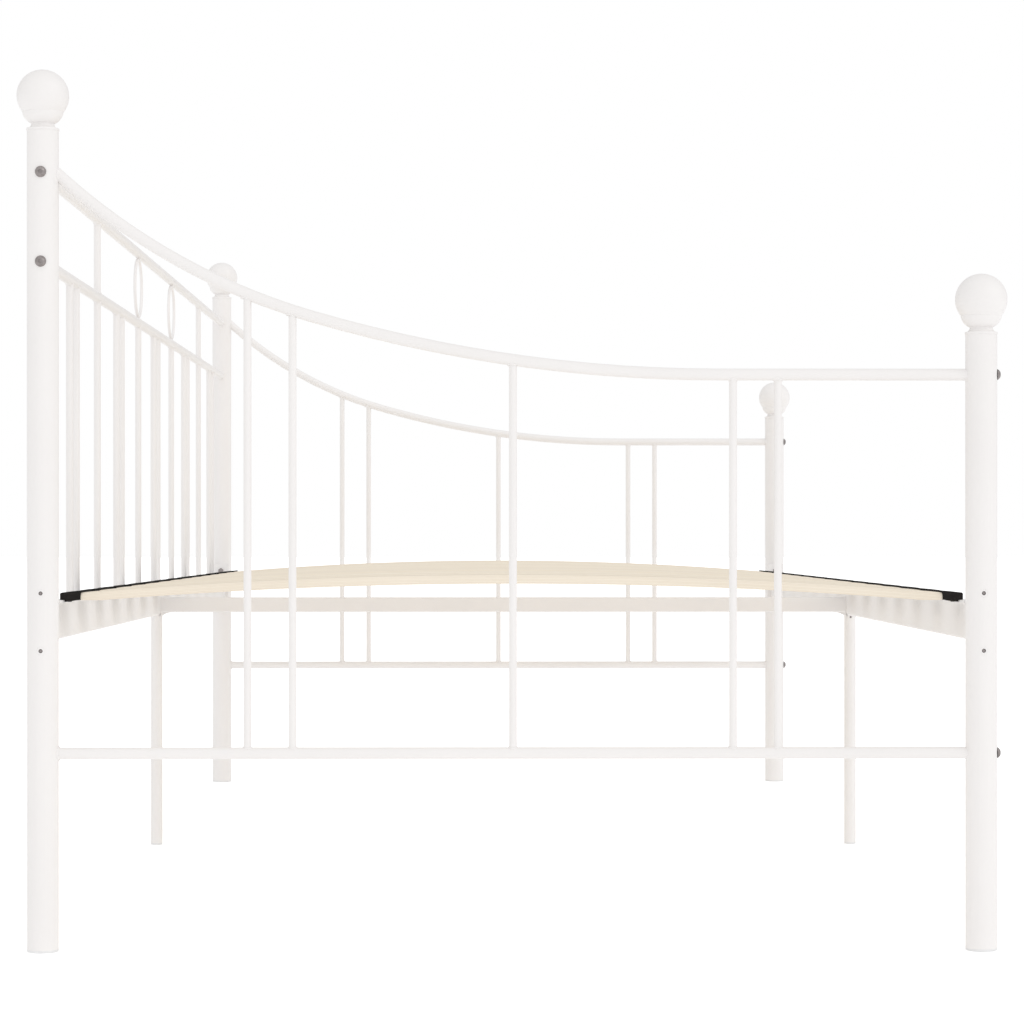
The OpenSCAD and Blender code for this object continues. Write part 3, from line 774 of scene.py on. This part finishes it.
def rounded_polygon(corners):
    """A closed outline, clockwise, whose corners are rounded to their own radii."""
    steps = 5
    points = []
    for i, (corner, radius) in enumerate(corners):
        before, after, _ = turn_of(corners, i)
        half = before.angle(after) / 2
        reach = radius / math.tan(half)
        centre = corner + (before + after).normalized() * radius / math.sin(half)
        start = corner + before * reach - centre
        end = corner + after * reach - centre
        for k in range(steps + 1):
            points.append(centre + radius * start.slerp(end, k / steps).normalized())
    return points


def inset_corners(corners, amount):
    """The same outline moved inwards all round; rounded corners keep their centres."""
    least_r = 0.05
    moved = []
    for i, (corner, radius) in enumerate(corners):
        before, after, convex = turn_of(corners, i)
        half = before.angle(after) / 2
        inwards = (before + after).normalized() * (1 if convex else -1)
        new_radius = max(least_r, radius - amount) if convex else radius + amount
        moved.append((corner + inwards * amount / math.sin(half), new_radius))
    return moved


def cap_shell():
    """The solid outside of one cap at x = 0, its two ends rounded over."""
    corners = cap_outline()
    wall, edge, steps = 2, 0.9, 5
    half_w = SLAT_W / MM / 2 + wall
    stations = []
    for i in range(steps + 1):
        turn = math.radians(90 * i / steps)
        stations.append((half_w - edge + edge * math.sin(turn), edge * (1 - math.cos(turn))))
    stations = [(-x, inset) for x, inset in reversed(stations)] + stations
    rings = []
    for x, inset in stations:
        ring = rounded_polygon(inset_corners(corners, inset))
        rings.append([Vector((x * MM, point.x * MM, point.y * MM)) for point in ring])
    bm = bmesh.new()
    loft(bm, rings)
    bmesh.ops.recalc_face_normals(bm, faces=bm.faces)
    return bm


def slat_pocket(gap):
    """The space that a slat takes up in its cap, a gap larger all round."""
    bm = bmesh.new()
    section = rounded_section(SLAT_W + 2 * gap, SLAT_T + 2 * gap, SLAT_EDGE_R + gap, 6)
    step_arc = arc_at(REBATE_Y) - gap
    stations = [step_arc - before * MM for before in (30, 15, 0.1, 0)] + [arc_at(SLAT_END_Y + gap)]
    rings = []
    for along in stations:
        rings.append([slat_point(x, along, thinned(along, d - gap, gap)) for x, d in section])
    loft(bm, rings)
    bmesh.ops.recalc_face_normals(bm, faces=bm.faces)
    return bm


def cap_mesh():
    """One cap with its pocket cut out."""
    gap = 0.15 * MM
    shell = as_object("cap_shell", cap_shell())
    pocket = as_object("cap_pocket", slat_pocket(gap))
    cut = shell.modifiers.new("pocket", "BOOLEAN")
    cut.operation = "DIFFERENCE"
    cut.solver = "EXACT"
    cut.object = pocket
    graph = bpy.context.evaluated_depsgraph_get()
    mesh = bpy.data.meshes.new_from_object(shell.evaluated_get(graph))
    bpy.data.objects.remove(shell)
    bpy.data.objects.remove(pocket)
    return mesh


def cap_lug(bm):
    """The lug under a cap that fits the ledge's notch, its corners rounded."""
    half_w, half_l, corner = 5 * MM, 2.6 * MM, 0.8 * MM
    forward, lift, root = 0.2 * MM, 0.02 * MM, 0.9 * MM
    outline = []
    for x, y, start in ((1, 1, 0), (-1, 1, 90), (-1, -1, 180), (1, -1, 270)):
        centre = (x * (half_w - corner), LEDGE_LOW.y - forward + y * (half_l - corner))
        outline += arc(centre, corner, start, start + 90, 4)
    heights = (LEDGE_LOW.z + lift, LEDGE_HIGH.z + root)
    known = len(bm.faces)
    loft(bm, [[Vector((x, y, z)) for x, y in outline] for z in heights])
    bm.faces.ensure_lookup_table()
    bmesh.ops.recalc_face_normals(bm, faces=bm.faces[known:])


def build_caps():
    source = cap_mesh()
    for depth, label in ((BACK, "back"), (FRONT, "front")):
        bm = bmesh.new()
        for node in SLAT_NODES:
            known = len(bm.verts)
            bm.from_mesh(source)
            cap_lug(bm)
            bm.verts.ensure_lookup_table()
            turn = Matrix.Identity(4) if depth == BACK else Matrix.Rotation(math.pi, 4, "Z")
            move(bm.verts[known:], Matrix.Translation((middle(node, 0), 0, 0)) @ turn)
        node = f"slat_caps_{label}"
        finish_piece(node + "_moulded", bm, CAP, [node], sharp_angle=35, turn_faces=False)
    bpy.data.meshes.remove(source)


# ---- Weld beads ----

# Radius of the bead round a spindle, and points round a joint
BEAD_R = 1.1 * MM
JOINT_POINTS = 40


def bead(bm, path, radius, rng):
    """A lumpy bead along a closed path of (place, outward direction) pairs."""
    sides, thinnest, fattest = 8, 0.86, 1.14
    count = len(path)
    lumps = [rng.uniform(thinnest, fattest) for _ in range(max(6, count // 4))]
    rings = []
    for i, (place, outward) in enumerate(path):
        ahead = (path[(i + 1) % count][0] - path[i - 1][0]).normalized()
        side = ahead.cross(outward).normalized()
        up = side.cross(ahead).normalized()
        at = i / count * len(lumps)
        k = int(at) % len(lumps)
        blend = at - int(at)
        blend = blend * blend * (3 - 2 * blend)
        size = radius * (lumps[k] * (1 - blend) + lumps[(k + 1) % len(lumps)] * blend)
        ring = []
        for s in range(sides):
            turn = 2 * math.pi * s / sides
            ring.append(bm.verts.new(place + size * (math.cos(turn) * side + math.sin(turn) * up)))
        rings.append(ring)
    for i in range(count):
        a, b = rings[i], rings[(i + 1) % count]
        for s in range(sides):
            t = (s + 1) % sides
            bm.faces.new((a[s], b[s], b[t], a[t]))


def rod_on_tube(rod_r, tube_r, count=JOINT_POINTS):
    """Where an upright rod that comes from below meets a tube along X at the origin."""
    path = []
    for i in range(count):
        turn = 2 * math.pi * i / count
        x, y = rod_r * math.cos(turn), rod_r * math.sin(turn)
        z = -math.sqrt(tube_r ** 2 - y ** 2)
        rod_way = Vector((math.cos(turn), math.sin(turn), 0))
        tube_way = Vector((0, y, z)).normalized()
        path.append((Vector((x, y, z)), (rod_way + tube_way).normalized()))
    return path


def rod_on_flat(rod_r):
    """Where an upright rod stands on a flat face at z = 0."""
    path = []
    for i in range(JOINT_POINTS):
        turn = 2 * math.pi * i / JOINT_POINTS
        way = Vector((math.cos(turn), math.sin(turn), 0))
        path.append((way * rod_r, (way + Vector((0, 0, 1))).normalized()))
    return path


def placed(path, matrix):
    """A bead's path, moved and turned with its outward directions."""
    turn = matrix.to_3x3()
    return [(matrix @ place, (turn @ outward).normalized()) for place, outward in path]


def rail_slope(y):
    """Height and slope of an end's top rail at a place across the bed: level in front, then a slow
    bend up, then a tight one from where the slope's sine reaches its limit."""
    start_y, level_z = -207 * MM, 583.4 * MM
    slow_r, tight_r, sine = 1470 * MM, 650 * MM, 0.28
    if y < start_y:
        return level_z, 0.0
    centre, radius = Vector((start_y, level_z + slow_r)), slow_r
    if y >= start_y + slow_r * sine:
        centre += (slow_r - tight_r) * Vector((sine, -math.sqrt(1 - sine ** 2)))
        radius = tight_r
    return centre.y - math.sqrt(radius ** 2 - (y - centre.x) ** 2), math.asin((y - centre.x) / radius)


UPSIDE_DOWN = Matrix.Rotation(math.pi, 4, "X")
ALONG_Y = Matrix.Rotation(math.pi / 2, 4, "Z")


def build_end_welds():
    """Spindles to both rails of each end, and the rails' back ends to the back posts."""
    rng = random.Random(5)
    pair_outer, pair_inner, post_bead_r, post_points = 268.5 * MM, 223 * MM, 1.5 * MM, 56
    spindle_ys = [-pair_outer, -pair_inner, 0, pair_inner, pair_outer]
    for side, hand in ((LEFT, "left"), (RIGHT, "right")):
        bm = bmesh.new()
        for y in spindle_ys:
            z, slope = rail_slope(y)
            joint = rod_on_tube(SPINDLE_R, RAIL_R)
            tilt = Matrix.Translation((side * END_X, y, z)) @ Matrix.Rotation(slope, 4, "X") @ ALONG_Y
            bead(bm, placed(joint, tilt), BEAD_R, rng)
            foot = Matrix.Translation((side * END_X, y, BOTTOM_RAIL_Z)) @ ALONG_Y @ UPSIDE_DOWN
            bead(bm, placed(joint, foot), BEAD_R, rng)
        top_z, top_slope = rail_slope(POST_Y - POST_R)
        for z, slope in ((BOTTOM_RAIL_Z, 0.0), (top_z, top_slope)):
            # The rail's end lies on the post's side as a rod lies on a tube
            joint = rod_on_tube(RAIL_R, POST_R, post_points)
            lay = Matrix.Rotation(-math.pi / 2, 4, "X") @ ALONG_Y
            shear = Matrix.Identity(4)
            shear[2][1] = math.tan(slope)
            at = Matrix.Translation((side * END_X, POST_Y, z + POST_R * math.tan(slope)))
            bead(bm, placed(joint, at @ shear @ lay), post_bead_r, rng)
        finish_piece(f"end_welds_{hand}", bm, STEEL, weighted=False)


def build_railing_welds():
    """Uprights, struts and rings of the back railing, in ten equal bays between the posts."""
    rng = random.Random(6)
    bay = (2 * END_X - 2 * POST_R) / 10
    half_pair, ring_touch_r, ring_bead_r = 25 * MM, 2.2 * MM, 0.8 * MM
    singles = [k * bay for k in (-3, -1, 1, 3)]
    pairs = [k * bay + s * half_pair for k in (-4, -2, 0, 2, 4) for s in (-1, 1)]
    struts = [-3 * bay, 3 * bay]
    rings = [-bay, bay]
    joint, foot = rod_on_tube(SPINDLE_R, RAIL_R), rod_on_flat(SPINDLE_R)
    bm = bmesh.new()
    for x in singles + pairs:
        bead(bm, placed(joint, Matrix.Translation((x, POST_Y, LOWER_RAILING_Z))), BEAD_R, rng)
        bead(bm, placed(foot, Matrix.Translation((x, POST_Y, SIDE_RAIL_TOP))), BEAD_R, rng)
    for x in struts:
        bead(bm, placed(joint, Matrix.Translation((x, POST_Y, UPPER_RAILING_Z))), BEAD_R, rng)
        bead(bm, placed(joint, Matrix.Translation((x, POST_Y, LOWER_RAILING_Z)) @ UPSIDE_DOWN), BEAD_R, rng)
    touch = rod_on_tube(ring_touch_r, RAIL_R, 24)
    for x in rings:
        bead(bm, placed(touch, Matrix.Translation((x, POST_Y, UPPER_RAILING_Z))), ring_bead_r, rng)
        below = Matrix.Translation((x, POST_Y, LOWER_RAILING_Z)) @ UPSIDE_DOWN
        bead(bm, placed(touch, below), ring_bead_r, rng)
    finish_piece("railing_welds", bm, STEEL, weighted=False)


# ---- Finish of what the CAD already has right ----

def paint_cad_nodes():
    finishes = {"white_steel": STEEL, "finial_white": STEEL, "white_plastic": FOOT,
                "black_plastic": CAP, "dark_zinc": ZINC, "birch": WOOD}
    for part in frame["record"]["subparts"]:
        cad = frame["nodes"][part["node"]]
        for place in cad.material_slots:
            place.material = finishes[part["material_slot"]]


# ---- Floor, light and camera ----

SURROUND_LEVEL = 0.789
SURROUND_LEAN = (-0.146, -0.016, 0.101)
KEY_ENERGY = 0.294
KEY_ANGLE = math.radians(35)
KEY_COLOUR = (1, 0.99, 0.975)
KEY_TOWARDS = Vector((-0.40, -0.70, 0.60))
KEY_DISTANCE = 4
FLOOR_GLOW = 0.2
FLOOR_GLOW_SEEN = 0.5
FLOOR_HALF = 60
FLOOR_Z = -0.3 * MM
CAMERA_PLACE = (-3.959, 0.0358, 0.4172)
CAMERA_YAW = math.radians(0.68)
CAMERA_LENS = 101.9
CAMERA_SHIFT_Y = 0.0259


def build_floor():
    """A wide white floor. It glows more for the camera than for the bed, so it stays white as in a
    light tent."""
    bm = bmesh.new()
    corners = ((-1, -1), (1, -1), (1, 1), (-1, 1))
    bm.faces.new([bm.verts.new((x * FLOOR_HALF, y * FLOOR_HALF, FLOOR_Z)) for x, y in corners])
    floor = as_object("floor", bm)
    material = new_material("floor_white", (0.92, 0.92, 0.92), 0.9, specular=0.0)
    n = Nodes(material)
    n.shader.inputs["Emission Color"].default_value = (1, 1, 1, 1)
    seen = n.add("ShaderNodeLightPath").outputs["Is Camera Ray"]
    n.link(n.remap(seen, FLOOR_GLOW, FLOOR_GLOW_SEEN), n.shader.inputs["Emission Strength"])
    floor.data.materials.append(material)


def build_light():
    """A white surround that is brighter towards the camera, and a soft key from the bed's front and
    left. The camera sees the surround as plain white."""
    world = bpy.data.worlds.new("studio")
    bpy.context.scene.world = world
    world.use_nodes = True
    n = Nodes(world)
    fill, seen = n.tree.nodes["Background"], n.add("ShaderNodeBackground")
    for background in (fill, seen):
        background.inputs["Color"].default_value = (1, 1, 1, 1)
    lean = n.add("ShaderNodeVectorMath", operation="DOT_PRODUCT")
    lean.inputs[1].default_value = SURROUND_LEAN
    n.link(n.add("ShaderNodeTexCoord").outputs["Generated"], lean.inputs[0])
    n.link(n.math("ADD", lean.outputs["Value"], SURROUND_LEVEL), fill.inputs["Strength"])
    seen.inputs["Strength"].default_value = 1.0
    choose = n.add("ShaderNodeMixShader")
    n.link(n.add("ShaderNodeLightPath").outputs["Is Camera Ray"], choose.inputs[0])
    n.link(fill.outputs["Background"], choose.inputs[1])
    n.link(seen.outputs["Background"], choose.inputs[2])
    n.link(choose.outputs["Shader"], n.tree.nodes["World Output"].inputs["Surface"])

    key = bpy.data.lights.new("key", "SUN")
    key.energy = KEY_ENERGY
    key.angle = KEY_ANGLE
    key.color = KEY_COLOUR
    lamp = bpy.data.objects.new("key", key)
    bpy.context.scene.collection.objects.link(lamp)
    lamp.rotation_euler = KEY_TOWARDS.to_track_quat("Z", "Y").to_euler()
    lamp.location = KEY_TOWARDS * KEY_DISTANCE


def build_camera():
    """A level camera that looks along the bed from its left end."""
    data = bpy.data.cameras.new("camera")
    data.lens = CAMERA_LENS
    data.sensor_width = 36
    data.shift_y = CAMERA_SHIFT_Y
    data.clip_end = 200
    camera = bpy.data.objects.new("camera", data)
    bpy.context.scene.collection.objects.link(camera)
    camera.location = CAMERA_PLACE
    camera.rotation_euler = (math.pi / 2, 0, -math.pi / 2 - CAMERA_YAW)
    bpy.context.scene.camera = camera


build_floor()
build_light()
build_camera()
bpy.context.scene.view_settings.view_transform = "Standard"
paint_cad_nodes()
build_finials()
build_feet()
build_big_bolts()
build_side_rail_bolts()
build_leg_screws()
build_slats()
build_caps()
build_end_welds()
build_railing_welds()
